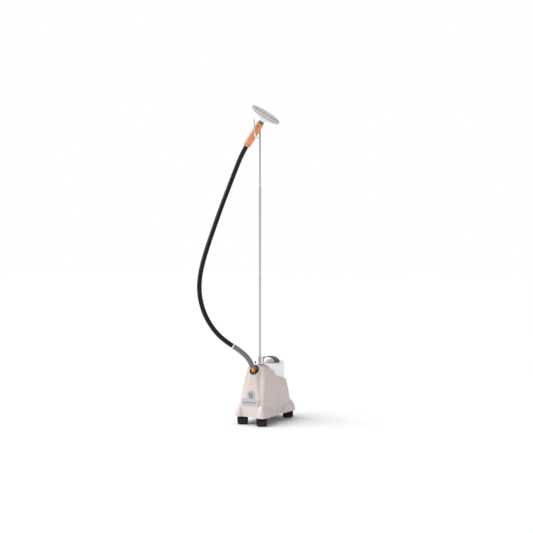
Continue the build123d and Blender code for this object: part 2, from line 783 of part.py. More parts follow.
lever_dir = Vector(0, -math.sin(lever_lean), math.cos(lever_lean))
pivot = Vector(switch_x, switch_y, switch_pivot_z)
with BuildPart() as toggle_lever:
    with BuildSketch(Plane(origin=pivot, z_dir=lever_dir)):
        Circle(2)
    extrude(amount=20)
    with Locations(pivot):
        Sphere(3.6)
save("toggle_lever", toggle_lever.part)

with BuildPart() as toggle_tip:
    with BuildSketch(Plane(origin=pivot + lever_dir * 20, z_dir=lever_dir)):
        Circle(4.5)
    extrude(amount=8)
    fillet(toggle_tip.edges(), radius=2)
save("toggle_tip", toggle_tip.part)
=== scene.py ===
import json
import math

import bmesh
import bpy
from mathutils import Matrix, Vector


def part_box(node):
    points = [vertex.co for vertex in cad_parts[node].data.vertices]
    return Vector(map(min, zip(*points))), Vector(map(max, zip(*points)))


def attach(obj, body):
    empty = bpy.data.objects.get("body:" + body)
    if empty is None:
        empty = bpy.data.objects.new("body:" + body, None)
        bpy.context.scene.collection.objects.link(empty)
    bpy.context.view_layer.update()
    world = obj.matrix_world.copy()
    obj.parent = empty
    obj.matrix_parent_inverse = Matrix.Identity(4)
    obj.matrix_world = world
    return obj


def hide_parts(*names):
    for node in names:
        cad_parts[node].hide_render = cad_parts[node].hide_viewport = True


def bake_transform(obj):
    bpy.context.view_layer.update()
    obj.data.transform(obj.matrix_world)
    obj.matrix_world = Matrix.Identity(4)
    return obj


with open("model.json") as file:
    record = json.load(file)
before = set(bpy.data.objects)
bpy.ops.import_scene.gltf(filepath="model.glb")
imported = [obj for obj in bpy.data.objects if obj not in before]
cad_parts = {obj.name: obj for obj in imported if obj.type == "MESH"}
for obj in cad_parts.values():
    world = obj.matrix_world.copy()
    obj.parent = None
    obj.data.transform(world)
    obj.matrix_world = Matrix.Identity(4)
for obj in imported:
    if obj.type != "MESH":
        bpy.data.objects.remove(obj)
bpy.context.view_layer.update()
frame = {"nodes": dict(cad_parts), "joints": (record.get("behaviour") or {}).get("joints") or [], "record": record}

joints = {joint["name"]: joint for joint in frame["joints"]}
upward = Vector((0, 0, 1))


def mm(*values):
    """A point or direction given in millimetres."""
    return Vector(values) * 0.001


# ---- camera, at the angle, height and distance of a person's view ----
view_turn = math.radians(32)
view_distance, view_height, view_aside = 4.2, 0.81, 0.0338
look = Vector((-math.sin(view_turn), math.cos(view_turn), 0))
aside = Vector((math.cos(view_turn), math.sin(view_turn), 0))
camera = bpy.data.objects.new("camera", bpy.data.cameras.new("camera"))
camera.data.sensor_width, camera.data.lens = 36.0, 54.57
camera.location = aside * view_aside - look * view_distance + Vector((0, 0, view_height))
camera.rotation_euler = look.to_track_quat("-Z", "Y").to_euler()
bpy.context.scene.collection.objects.link(camera)
bpy.context.scene.camera = camera


# ---- shapes ----
def rounded(points, radius, steps=6, closed=True):
    """An outline with its corners rounded; radius is one number, or one for each corner."""
    result = []
    for i, point in enumerate(points):
        corner = Vector(point)
        size = radius[i] if hasattr(radius, "__len__") else radius
        if size == 0 or (not closed and i in (0, len(points) - 1)):
            result.append(corner)
            continue
        back, ahead = Vector(points[i - 1]) - corner, Vector(points[(i + 1) % len(points)]) - corner
        reach = min(size / math.tan(back.angle(ahead) / 2), 0.49 * back.length, 0.49 * ahead.length)
        start, end = corner + back.normalized() * reach, corner + ahead.normalized() * reach
        for k in range(steps + 1):
            t = k / steps
            result.append(start * (1 - t) ** 2 + corner * (2 * t * (1 - t)) + end * t**2)
    return result


def through(points, steps=8):
    """A smooth line that passes through every point."""
    ends = [Vector(p) for p in (points[0], *points, points[-1])]
    line = []
    for a, b, c, d in zip(ends, ends[1:], ends[2:], ends[3:]):
        for k in range(steps):
            t = k / steps
            line.append(0.5 * (2 * b + (c - a) * t + (2 * a - 5 * b + 4 * c - d) * t**2
                               + (3 * b - a - 3 * c + d) * t**3))
    return [*line, ends[-1]]


def skin(rings, closed=False):
    """A closed mesh over rings of points; closed joins the last ring to the first, else both are capped."""
    bm = bmesh.new()
    loops = [[bm.verts.new(point) for point in ring] for ring in rings]
    pairs = list(zip(loops, loops[1:])) + ([(loops[-1], loops[0])] if closed else [])
    for low, high in pairs:
        for i, vertex in enumerate(low):
            j = (i + 1) % len(low)
            bm.faces.new((vertex, low[j], high[j], high[i]))
    if not closed:
        bm.faces.new(reversed(loops[0]))
        bm.faces.new(loops[-1])
    bmesh.ops.remove_doubles(bm, verts=bm.verts, dist=1e-6)
    bmesh.ops.recalc_face_normals(bm, faces=bm.faces)
    mesh = bpy.data.meshes.new("skin")
    bm.to_mesh(mesh)
    bm.free()
    return mesh


def across(direction):
    """Two directions square to one, and to each other."""
    direction = Vector(direction).normalized()
    helper = upward if abs(direction.z) < 0.9 else Vector((0, 1, 0))
    first = helper.cross(direction).normalized()
    return first, direction.cross(first)


def lathe(origin, direction, profile, sides=72):
    """A turned solid: profile is a closed loop of (radius, height) round an axis."""
    direction = Vector(direction).normalized()
    u, v = across(direction)
    rings = []
    for k in range(sides):
        turn = 2 * math.pi * k / sides
        out = u * math.cos(turn) + v * math.sin(turn)
        rings.append([origin + out * radius + direction * height for radius, height in profile])
    return skin(rings, closed=True)


def turned(origin, direction, inner, outer, low, high, edge, sides=72):
    """A turned ring, or a disc where inner is 0, with rounded outer edges."""
    loop = [(inner, low), (outer, low), (outer, high), (inner, high)]
    return lathe(origin, direction, rounded(loop, [0, edge, edge, 0]), sides)


def prism(outline, low, high, to_point):
    """A solid between two heights over an outline; to_point places (x, y, height)."""
    return skin([[to_point(p[0], p[1], h) for p in outline] for h in (low, high)])


def along(path, section):
    """Rings along a path; section gives each ring's (sideways, upward) points from its share of the path."""
    way = (path[1] - path[0]).normalized()
    side, up = across(way)
    rings = []
    for i, point in enumerate(path):
        ahead, behind = path[min(i + 1, len(path) - 1)], path[max(i - 1, 0)]
        new_way = (ahead - behind).normalized()
        turn = way.rotation_difference(new_way)
        side.rotate(turn)
        up.rotate(turn)
        way = new_way
        rings.append([point + side * a + up * b for a, b in section(i / (len(path) - 1))])
    return rings


def circle(radius, sides=36):
    """Points of a circle."""
    turns = [2 * math.pi * k / sides for k in range(sides)]
    return [(radius * math.cos(t), radius * math.sin(t)) for t in turns]


def ball_end(path, radius, steps=5):
    """A path and radii that close a rod's end with a half ball."""
    way = (path[-1] - path[-2]).normalized()
    turns = [math.pi / 2 * k / steps for k in range(1, steps)]
    cap = [(path[-1] + way * radius * math.sin(t), radius * math.cos(t)) for t in turns]
    return [*[(p, radius) for p in path], *cap, (path[-1] + way * radius * 0.999, radius * 0.05)]


def rod(path, radius, sides=24):
    """A round rod with a ball end."""
    spots = ball_end(path, radius)
    points = [p for p, _ in spots]
    return skin(along(points, lambda share: circle(spots[round(share * (len(spots) - 1))][1], sides)))


def evaluated_mesh(source):
    """A new mesh of an object as it stands after its modifiers."""
    bpy.context.view_layer.update()
    depsgraph = bpy.context.evaluated_depsgraph_get()
    return bpy.data.meshes.new_from_object(source.evaluated_get(depsgraph))


def nurbs_points(points, resolution=10):
    """The points of the smooth spline that a route controls."""
    spline_object = bpy.data.objects.new("line", route_curve(points, resolution))
    bpy.context.scene.collection.objects.link(spline_object)
    line = [vertex.co.copy() for vertex in evaluated_mesh(spline_object).vertices]
    bpy.data.objects.remove(spline_object)
    return line


def route_curve(points, resolution):
    """A curve with one smooth spline whose control points are the route's."""
    curve = bpy.data.curves.new("line", "CURVE")
    curve.dimensions, curve.resolution_u = "3D", resolution
    spline = curve.splines.new("NURBS")
    spline.points.add(len(points) - 1)
    for control, point in zip(spline.points, points):
        control.co = (*point, 1)
    spline.order_u = 3
    spline.use_endpoint_u = True
    return curve


def with_modifiers(mesh, *modifiers):
    """The mesh after modifiers, each a type and its settings."""
    holder = bpy.data.objects.new("work", mesh)
    bpy.context.scene.collection.objects.link(holder)
    for kind, settings in modifiers:
        modifier = holder.modifiers.new(kind.lower(), kind)
        for key, value in settings.items():
            setattr(modifier, key, value)
    result = evaluated_mesh(holder)
    bpy.data.objects.remove(holder)
    return result


def joined(meshes):
    """Several meshes as one."""
    bm = bmesh.new()
    for mesh in meshes:
        bm.from_mesh(mesh)
    result = bpy.data.meshes.new("joined")
    bm.to_mesh(result)
    bm.free()
    return result


def combined(mesh, other, operation="DIFFERENCE"):
    """Two closed meshes cut or united."""
    tool = bpy.data.objects.new("tool", other)
    bpy.context.scene.collection.objects.link(tool)
    settings = {"operation": operation, "solver": "MANIFOLD", "object": tool}
    result = with_modifiers(mesh, ("BOOLEAN", settings))
    bpy.data.objects.remove(tool)
    return result


def melted(meshes, voxel, passes):
    """Overlapping solids as one body, with soft blends where they meet."""
    remesh = {"mode": "VOXEL", "voxel_size": voxel, "use_smooth_shade": True}
    return with_modifiers(joined(meshes), ("REMESH", remesh),
                          ("SMOOTH", {"factor": 0.5, "iterations": passes}))


def piece(name, mesh, body, material, slot, *replaced):
    """A finished piece that rides on a body, unless that is None, and stands for CAD nodes."""
    mesh.materials.clear()
    mesh.materials.append(material)
    mesh.polygons.foreach_set("use_smooth", [True] * len(mesh.polygons))
    mesh.polygons.foreach_set("material_index", [0] * len(mesh.polygons))
    mesh.set_sharp_from_angle(angle=math.radians(35))
    made = bpy.data.objects.new(name, mesh)
    bpy.context.scene.collection.objects.link(made)
    if body:
        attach(made, body)
    if replaced:
        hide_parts(*replaced)
    return made


# ---- materials ----
def shader_tree(name, stretch=(1, 1, 1), turn=(0, 0, 0)):
    """A new material, its node tree, its shader, and coordinates in the object's own frame."""
    material = bpy.data.materials.new(name)
    material.use_nodes = True
    tree = material.node_tree
    coordinates = tree.nodes.new("ShaderNodeTexCoord")
    mapping = tree.nodes.new("ShaderNodeMapping")
    mapping.vector_type = "TEXTURE"
    mapping.inputs["Rotation"].default_value = turn
    mapping.inputs["Scale"].default_value = stretch
    tree.links.new(coordinates.outputs["Object"], mapping.inputs["Vector"])
    return material, tree, tree.nodes["Principled BSDF"], mapping.outputs["Vector"]


def noise(tree, vector, scale, detail=4, roughness=0.55):
    """A noise texture's value."""
    node = tree.nodes.new("ShaderNodeTexNoise")
    node.inputs["Scale"].default_value = scale
    node.inputs["Detail"].default_value = detail
    node.inputs["Roughness"].default_value = roughness
    tree.links.new(vector, node.inputs["Vector"])
    return node.outputs["Fac"]


def ramp(tree, value, *stops):
    """Colours spread over a value; each stop is a place and a colour."""
    node = tree.nodes.new("ShaderNodeValToRGB")
    while len(node.color_ramp.elements) < len(stops):
        node.color_ramp.elements.new(0.5)
    for element, (place, colour) in zip(node.color_ramp.elements, stops):
        element.position = place
        element.color = (*colour, 1)
    tree.links.new(value, node.inputs["Fac"])
    return node.outputs["Color"]


def spread(tree, value, low, high):
    """A value from 0.3 to 0.7 spread between two others."""
    node = tree.nodes.new("ShaderNodeMapRange")
    node.inputs["From Min"].default_value, node.inputs["From Max"].default_value = 0.3, 0.7
    node.inputs["To Min"].default_value, node.inputs["To Max"].default_value = low, high
    tree.links.new(value, node.inputs["Value"])
    return node.outputs["Result"]


def bump(tree, shader, value, depth, strength=0.4):
    """A relief of that depth in metres."""
    node = tree.nodes.new("ShaderNodeBump")
    node.inputs["Strength"].default_value = strength
    node.inputs["Distance"].default_value = depth
    tree.links.new(value, node.inputs["Height"])
    tree.links.new(node.outputs["Normal"], shader.inputs["Normal"])


def finish(name, dark, light, gloss, grain, depth, metallic=0.0, tone_scale=14,
           stretch=(1, 1, 1), **sockets):
    """Two tones that drift into each other, uneven gloss, and a fine grain of that scale and depth."""
    material, tree, shader, place = shader_tree(name, stretch)
    shader.inputs["Metallic"].default_value = metallic
    for socket, value in sockets.items():
        shader.inputs[socket.replace("_", " ")].default_value = value
    tones = ramp(tree, noise(tree, place, tone_scale), (0.32, dark), (0.68, light))
    tree.links.new(tones, shader.inputs["Base Color"])
    tree.links.new(spread(tree, noise(tree, place, tone_scale * 7), *gloss), shader.inputs["Roughness"])
    bump(tree, shader, noise(tree, place, grain, 3), depth)
    return material


def wood_finish(axis_turn):
    """Varnished wood, with its grain along the handle."""
    material, tree, shader, place = shader_tree("varnished_wood", (1, 1, 9), (0, axis_turn, 0))
    fibre = noise(tree, place, 260, 8, 0.65)
    bands = noise(tree, place, 60, 3)
    mix = tree.nodes.new("ShaderNodeMath")
    mix.operation = "MULTIPLY_ADD"
    mix.inputs[1].default_value = 0.45
    tree.links.new(fibre, mix.inputs[0])
    half = tree.nodes.new("ShaderNodeMath")
    half.operation = "MULTIPLY"
    half.inputs[1].default_value = 0.55
    tree.links.new(bands, half.inputs[0])
    tree.links.new(half.outputs[0], mix.inputs[2])
    tones = ramp(tree, mix.outputs[0], (0.36, (0.38, 0.09, 0.028)), (0.5, (0.66, 0.205, 0.07)),
                 (0.64, (0.80, 0.31, 0.12)))
    tree.links.new(tones, shader.inputs["Base Color"])
    tree.links.new(spread(tree, bands, 0.3, 0.4), shader.inputs["Roughness"])
    shader.inputs["Coat Weight"].default_value = 0.6
    shader.inputs["Coat Roughness"].default_value = 0.22
    bump(tree, shader, fibre, 0.0002, 0.25)
    return material


lean = math.radians(38)     # the handpiece's lean from upright
housing_plastic = finish("housing_plastic", (0.60, 0.51, 0.48), (0.65, 0.56, 0.53), (0.36, 0.46), 900,
                         0.00008, tone_scale=5, Coat_Weight=0.25, Coat_Roughness=0.2)
milky_plastic = finish("milky_plastic", (0.94, 0.925, 0.93), (0.97, 0.955, 0.96), (0.26, 0.36), 700,
                       0.00006, tone_scale=9, Coat_Weight=0.2, Coat_Roughness=0.15,
                       Subsurface_Weight=0.5, Subsurface_Radius=(1, 0.97, 0.98), Subsurface_Scale=0.025)
white_plastic = finish("white_plastic", (0.80, 0.80, 0.80), (0.87, 0.87, 0.87), (0.25, 0.35), 800, 0.00005)
black_rubber = finish("black_rubber", (0.006, 0.006, 0.006), (0.014, 0.014, 0.014), (0.4, 0.55), 1200,
                      0.00012)
hose_rubber = finish("hose_rubber", (0.003, 0.003, 0.003), (0.006, 0.006, 0.006), (0.34, 0.46), 1500,
                     0.00015, Specular_IOR_Level=0.25)
sleeve_rubber = finish("sleeve_rubber", (0.13, 0.137, 0.133), (0.18, 0.187, 0.182), (0.4, 0.5), 1300, 0.0001)
strap_vinyl = finish("strap_vinyl", (0.008, 0.008, 0.008), (0.018, 0.018, 0.018), (0.28, 0.4), 600, 0.0002,
                     Coat_Weight=0.4, Coat_Roughness=0.2)
wheel_plastic = finish("wheel_plastic", (0.004, 0.004, 0.004), (0.008, 0.008, 0.008), (0.28, 0.42), 700,
                       0.0001, Specular_IOR_Level=0.3)
grey_plastic = finish("grey_plastic", (0.09, 0.09, 0.092), (0.12, 0.12, 0.122), (0.5, 0.62), 500, 0.0001)
pole_metal = finish("pole_metal", (0.52, 0.52, 0.53), (0.58, 0.58, 0.59), (0.3, 0.38), 900, 0.00001,
                    metallic=0.85, stretch=(1, 1, 18))
chrome = finish("chrome", (0.80, 0.80, 0.81), (0.86, 0.86, 0.87), (0.07, 0.16), 500, 0.00002, metallic=1.0)
dark_steel = finish("dark_steel", (0.10, 0.11, 0.12), (0.16, 0.17, 0.18), (0.2, 0.3), 700, 0.00004,
                    metallic=0.8)
steel = finish("steel", (0.45, 0.45, 0.46), (0.56, 0.56, 0.57), (0.3, 0.42), 900, 0.00004, metallic=1.0)
cast_metal = finish("cast_metal", (0.42, 0.42, 0.42), (0.52, 0.52, 0.52), (0.42, 0.58), 500, 0.0003,
                    metallic=1.0)
brass = finish("brass", (0.80, 0.27, 0.035), (0.92, 0.38, 0.07), (0.24, 0.36), 700, 0.00005, metallic=0.75)
badge_silver = finish("badge_silver", (0.40, 0.42, 0.45), (0.55, 0.57, 0.60), (0.3, 0.4), 900, 0.00004,
                      metallic=0.6, stretch=(14, 1, 1))
badge_ink = finish("badge_ink", (0.055, 0.065, 0.08), (0.09, 0.10, 0.12), (0.3, 0.4), 800, 0.00004)
face_plastic = finish("face_plastic", (0.55, 0.555, 0.555), (0.60, 0.605, 0.605), (0.34, 0.44), 700,
                      0.00006)
wood = wood_finish(lean)

slot_finish = {
    "housing": housing_plastic, "grey_plastic": grey_plastic, "white_plastic": white_plastic,
    "black_rubber": black_rubber, "strap": strap_vinyl, "grey_sleeve": sleeve_rubber,
    "light_ring": white_plastic, "black_plastic": wheel_plastic, "wheel": wheel_plastic,
    "pole_metal": pole_metal, "chrome": chrome, "steel": steel, "cast_aluminium": cast_metal,
    "brass": brass, "badge_silver": badge_silver, "badge_dark": badge_ink, "wood": wood,
    "face_grey": face_plastic,
}
for part in frame["record"]["subparts"]:
    node = frame["nodes"][part["node"]]
    if not node.material_slots:
        node.data.materials.append(None)
    for material_slot in node.material_slots:
        material_slot.material = slot_finish[part["material_slot"]]

# ---- steam hose, with its grey sleeve ----
hose_route = [mm(*point) for point in (
    (-0.5, -71.8, 295.4), (-2, -88, 324), (-14, -109, 354), (-42, -137, 388), (-80, -171, 420),
    (-116, -205, 460), (-148, -232, 512), (-175, -252, 575), (-196, -261, 655), (-205, -252, 738),
    (-202, -229, 825), (-194, -194, 915), (-184, -153, 1010), (-173, -109, 1110),
    (-159, -71, 1200), (-142, -44, 1278), (-122, -29, 1342), (-99, -25, 1393),
    (-67.9, -25.4, 1437.1),
)]
hose_radius, sleeve_radius = 0.012, 0.0128
hose_line = nurbs_points(hose_route)
sleeve_end = (hose_route[3] + hose_route[4]) * 0.5
end_index = min(range(len(hose_line)), key=lambda i: (hose_line[i] - sleeve_end).length)
hose = piece("hose", skin(along(hose_line, lambda share: circle(hose_radius))), None, hose_rubber,
             "black_rubber", "steam_hose")
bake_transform(hose)


def sheath(line, inner, outer, edge):
    """A sleeve round a line, thinner over that share of its length at each end."""
    rings = along(line, lambda share: circle(outer if edge < share < 1 - edge else (inner + outer) / 2))
    rings += list(reversed(along(line, lambda share: circle(inner))))
    return skin(rings, closed=True)


sleeve = piece("sleeve", sheath(hose_line[:end_index + 1], hose_radius, sleeve_radius, 0.01), "base",
               sleeve_rubber, "grey_sleeve", "hose_sleeve")
ring_way = (hose_line[end_index + 1] - hose_line[end_index]).normalized()
hose_ring = piece("hose_ring", turned(hose_line[end_index], ring_way, hose_radius, 0.0138, -0.0012, 0.005,
                                      0.0012), "base", white_plastic, "light_ring", "sleeve_ring")

# ---- housing: smooth masses melted together, then cut ----
# In millimetres: height, half width, front, rear and corner radius of each section.
body_sections = [
    (34, 80, -96, 203, 24), (95, 77.5, -90, 194, 24), (150, 74.5, -76, 181, 22), (205, 69, -62, 167, 20),
    (255, 60.5, -50, 161, 18), (306, 48, -40, 157, 16),
]
# Height, half width, front and corner radius; every section ends inside the body.
nose_sections = [
    (52, 72, -98.5, 26), (86, 71, -96.2, 26), (130, 66, -88.4, 28), (180, 48, -79.4, 26),
    (225, 34, -72.3, 24), (266, 27, -65, 22),
]
nose_depth = 60
roof_line = [(-140, 335), (-52, 298), (-12, 284), (6, 279), (33, 280), (66, 238), (240, 193)]
outlet = mm(0, -52, 277)
outlet_way = Vector((0, -math.cos(math.radians(30)), math.sin(math.radians(30))))
skirt_low = 42
# Height, half width, front, rear and corner radius of the skirt between the fenders.
skirt_sections = [(34, 81, -99, 224, 30), (48, 79, -98, 219, 28), (82, 77, -93, 198, 22)]
# A fender's front and rear, and how many times its side's slope each of those ends has.
fender_spans = [(-112, 26, 1, 2.2), (80, 227, 4, 1.6)]
fender_inside, fender_outside, fender_corner = 42, 91, 24
# Height, and how far the fender's side has drawn in there.
fender_slope = [
    (34, 0), (45, 0.2), (56, 1.6), (66, 3.4), (76, 6), (85, 10), (92, 13.5), (98, 17), (103, 21),
]
shoulder_foot, shoulder_radius, shoulder_length = (0, -38, 271), 30, 74
boss_radius, boss_front, seat_radius, seat_back = 0.0327, 0.0022, 0.0282, -0.007
wall = 3


def box_ring(half, front, rear, height, corner):
    """A rounded rectangle at one height, in millimetres."""
    outline = [(-half, front), (half, front), (half, rear), (-half, rear)]
    return [mm(p.x, p.y, height) for p in rounded(outline, corner)]


def boxy_rings(sections, inset):
    """Rounded rectangles, one over the other, drawn in all round."""
    return [box_ring(half - inset, front + inset, rear - inset, z, corner)
            for z, half, front, rear, corner in sections]


def body_mass(inset):
    """The tapered body under its roof line."""
    above = [(y, z - inset) for y, z in roof_line] + [(240, 400), (-140, 400)]
    cutter = prism(above, -120, 120, lambda y, z, x: mm(x, y, z))
    return combined(skin(boxy_rings(body_sections, inset)), cutter)


def nose_mass(inset):
    """The raised middle of the front."""
    return skin([box_ring(half - inset, front + inset, front + nose_depth, z, corner)
                 for z, half, front, corner in nose_sections])


def fender_mass(side, front, rear, front_slope, rear_slope, inset):
    """One rounded fender over a caster; side is -1 or 1."""
    rings = []
    for z, shrink in fender_slope:
        margin = shrink + inset
        left, right = sorted((side * (fender_inside + margin), side * (fender_outside - margin)))
        y0, y1 = front + margin * front_slope, rear - margin * rear_slope
        outline = rounded([(left, y0), (right, y0), (right, y1), (left, y1)], fender_corner - shrink * 0.5)
        rings.append([mm(p.x, p.y, z - inset) for p in outline])
    return skin(rings)


def housing_masses(inset):
    """Every solid that the housing's outside, or the space inside it, is melted from."""
    foot = mm(*shoulder_foot) + mm(0, inset, 0)
    shoulder = turned(foot, (0, 1, 0), 0, (shoulder_radius - inset) * 0.001, 0,
                      (shoulder_length - 2 * inset) * 0.001, 0.002)
    top = skirt_sections[-1]
    skirt = boxy_rings([*skirt_sections[:-1], (top[0] - inset, *top[1:])], inset)
    fenders = [fender_mass(side, *span, inset) for side in (-1, 1) for span in fender_spans]
    return [body_mass(inset), nose_mass(inset), shoulder, skin(skirt), *fenders]


boss = turned(outlet, outlet_way, 0, boss_radius, -0.034, boss_front, 0.003)
shell_mesh = melted([*housing_masses(0), boss], 0.0022, 10)
lip_loop = rounded([(seat_radius, seat_back), (boss_radius, seat_back), (boss_radius, boss_front),
                    (seat_radius, boss_front)], [0, 0, 0.002, 0.0015])
shell_mesh = combined(shell_mesh, lathe(outlet, outlet_way, lip_loop), "UNION")
below = prism([(-200, -200), (200, -200), (200, 400), (-200, 400)], 0, skirt_low, mm)
well_outline = [(-51.5, 37.3), (51.5, 37.3), (60.3, 96), (60.3, 159.2), (-60.3, 159.2), (-60.3, 96)]
well = prism(rounded(well_outline, 12.5), 182, 345, mm)
cavity = melted(housing_masses(wall), 0.004, 3)
in_front = turned(outlet, outlet_way, 0, 0.0345, boss_front, 0.04, 0)
grommet_seat = turned(outlet, outlet_way, 0, seat_radius - 0.0001, seat_back, 0.02, 0)
outlet_bore = turned(outlet, outlet_way, 0, 0.020, -0.03, 0.01, 0)
pole_bore = turned(mm(0, 0, 285), upward, 0, 0.0091, 0, 0.04, 0)
switch_bore = turned(mm(-22.5, -4, 255), upward, 0, 0.0061, 0, 0.06, 0)
gland_bore = turned(mm(0, 170, 110), (0, 1, 0), 0, 0.0081, 0, 0.06, 0)
bores = [in_front, grommet_seat, outlet_bore, pole_bore, switch_bore, gland_bore]
for cutter in (below, cavity, well, *bores):
    shell_mesh = combined(shell_mesh, cutter)
piece("housing", shell_mesh, "base", housing_plastic, "housing", "housing_shell")

# ---- hose outlet: grommet and brass elbow ----
grommet_loop = [(0.0092, -0.007), (0.0279, -0.007), (0.0279, 0.0018), (0.0245, 0.0018), (0.0225, -0.001),
                (0.0125, -0.0015), (0.0092, 0.0015)]
grommet_edges = [0, 0, 0.002, 0.001, 0.002, 0.002, 0.0008]
piece("grommet", lathe(outlet, outlet_way, rounded(grommet_loop, grommet_edges)), "base", black_rubber,
      "black_rubber", "hose_grommet")
elbow_radius, hose_gap = 0.0085, 0.0004
ferrule_way = (hose_route[1] - hose_route[0]).normalized()
elbow_turn = hose_route[0] - ferrule_way * 0.012
elbow_route = [outlet - outlet_way * 0.016, outlet, elbow_turn, hose_route[0] - ferrule_way * hose_gap]
elbow_mesh = skin(along(nurbs_points(elbow_route, 16), lambda share: circle(elbow_radius)))


def hex_nut(origin, direction, corner, low, high):
    """A hexagon nut with its corners turned off."""
    u, v = across(direction)
    rings = []
    edge = 0.0012
    for height, size in ((low, 0.9), (low + edge, 1), (high - edge, 1), (high, 0.9)):
        spots = [Vector(p) * size for p in rounded(circle(corner, 6), edge, 3)]
        rings.append([origin + u * p.x + v * p.y + direction * height for p in spots])
    return skin(rings)


elbow_parts = [elbow_mesh, hex_nut(outlet, outlet_way, 0.0125, 0.0012, 0.0092),
               turned(hose_route[0], ferrule_way, 0, 0.0108, -0.0055, -hose_gap, 0.0012)]
piece("elbow", joined(elbow_parts), "base", brass, "brass", "brass_elbow")

# ---- badge: a bevelled plate whose raised sign is the CAD's ----
badge_up = mm(0, 16, 88).normalized()
badge_out = Vector((1, 0, 0)).cross(badge_up)
badge_foot = mm(0, -96, 92) + badge_up * 0.0115
badge_half, bar_low, bar_high, arch_half, arch_middle = 52, -3, 27, 22, 51
arch_turns = [math.pi * k / 16 for k in range(17)]
arch = [(arch_half * math.cos(t), arch_middle + arch_half * math.sin(t)) for t in arch_turns]
badge_outline = [(-badge_half, bar_low), (badge_half, bar_low), (badge_half, bar_high), (arch_half, bar_high),
                 *arch, (-arch_half, bar_high), (-badge_half, bar_high)]
badge_corners = [3, 3, 3, 4, *[0] * 17, 4, 3]


def on_badge(x, y, height):
    """A point on the badge's plane, in millimetres, and its height in front of it."""
    return badge_foot + Vector((x, 0, 0)) * 0.001 + badge_up * y * 0.001 + badge_out * height * 0.001


def badge_ring(margin, height):
    """The badge's outline, scaled down so that its ends draw in by a margin, at one height."""
    spots = rounded(badge_outline, badge_corners, 4)
    middle, half_rise = 34, 36
    x_share, y_share = 1 - margin / badge_half, 1 - margin / half_rise
    return [on_badge(p.x * x_share, middle + (p.y - middle) * y_share, height) for p in spots]


badge_rings = [badge_ring(0, -3), badge_ring(0, 1.0), badge_ring(0.5, 1.6), badge_ring(1.8, 1.6),
               badge_ring(2.2, 1.2)]
piece("badge", skin(badge_rings), "base", badge_silver, "badge_silver", "badge_plate")

# ---- pole, collar and hook ----
pole_tops = [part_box(name)[1].z for name in ("pole_lower", "pole_middle", "pole_upper")]
pole_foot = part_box("pole_lower")[0].z
pole_radius, pole_top_radius, bead = 0.00625, 0.00475, 0.00048


def pole_section(low, high):
    """A section of the pole with a raised bead under its top."""
    loop = [(0, low), (pole_radius, low), (pole_radius, high - 0.012), (pole_radius + bead, high - 0.011),
            (pole_radius + bead, high - 0.002), (pole_radius, high), (0, high)]
    return lathe(Vector(), upward, rounded(loop, [0, 0.0005, 0.0006, 0.0006, 0.0006, 0.0008, 0]), 48)


top_loop = [(0, pole_tops[1]), (pole_top_radius, pole_tops[1]), (pole_top_radius, pole_tops[2]),
            (0, pole_tops[2])]
top_mesh = lathe(Vector(), upward, rounded(top_loop, [0, 0.0005, 0.002, 0]), 48)
for name, mesh, node in (("pole_low", pole_section(pole_foot, pole_tops[0]), "pole_lower"),
                         ("pole_mid", pole_section(pole_tops[0], pole_tops[1]), "pole_middle"),
                         ("pole_top", top_mesh, "pole_upper")):
    piece(name, mesh, "base", pole_metal, "pole_metal", node)
collar_low, collar_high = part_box("pole_collar")[0].z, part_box("pole_collar")[1].z
collar_loop = [(0.0064, collar_low), (0.0165, collar_low), (0.0165, collar_high - 0.006),
               (0.0135, collar_high), (0.0064, collar_high)]
collar_mesh = lathe(Vector(), upward, rounded(collar_loop, [0, 0.001, 0.004, 0.002, 0]))
slot_half, slot_reach = 0.0068, 0.03
slot_outline = [(-slot_half, -slot_reach), (slot_half, -slot_reach), (slot_half, 0), (-slot_half, 0)]
slot_side, slot_inward = Vector((0.88, 0.47, 0)), Vector((-0.47, 0.88, 0))
collar_slot = prism(slot_outline, collar_low + 0.006, collar_high + 0.01,
                    lambda x, y, z: slot_side * x + slot_inward * y + upward * z)
piece("collar", combined(collar_mesh, collar_slot), "base", milky_plastic, "white_plastic", "pole_collar")
hook_route = [mm(0, y, z) for y, z in ((-3.5, 1481), (-20, 1474), (-41, 1474), (-50, 1488), (-51.5, 1520),
                                       (-56, 1568.4))]
piece("hook", rod(nurbs_points(hook_route), 0.0036), "base", chrome, "chrome", "pole_hook")

# ---- handpiece ----
grip_way = Vector((math.sin(lean), 0, math.cos(lean)))
grip_mid = mm(0, -25.4, 1524)
grip_bore, neck_top = 0.0081, 0.047
handle_loop = [(grip_bore, -0.109), (0.0150, -0.109), (0.0178, -0.1045), (0.019, -0.07), (0.0186, -0.03),
               (0.0186, 0.005), (0.0178, 0.027), (0.0158, 0.032), (grip_bore, 0.032)]
handle_edges = [0, 0.003, 0.006, 0.05, 0.05, 0.05, 0.006, 0.002, 0]
handle_mesh = lathe(grip_mid, grip_way, rounded(handle_loop, handle_edges, 8), 96)
screw_turn = math.radians(25)
screw_way = Vector((0, -math.cos(screw_turn), 0))
screw_way += Vector((math.cos(lean), 0, -math.sin(lean))) * math.sin(screw_turn)
screw_mid = grip_mid + grip_way * 0.015
handle_mesh = combined(handle_mesh, turned(screw_mid, screw_way, 0, 0.0036, 0.010, 0.03, 0))
piece("handle", handle_mesh, "handpiece", wood, "wood", "wood_handle")
piece("screw", turned(screw_mid, screw_way, 0, 0.0034, 0.0102, 0.0172, 0.0009, 32), "handpiece",
      black_rubber, "steel", "handle_screw")
washer_loop = [(grip_bore, 0.0322), (0.0165, 0.0322), (0.015, 0.041), (grip_bore, 0.041)]
piece("washer", lathe(grip_mid, grip_way, rounded(washer_loop, [0, 0.001, 0.0015, 0])), "handpiece",
      dark_steel, "steel", "neck_washer")
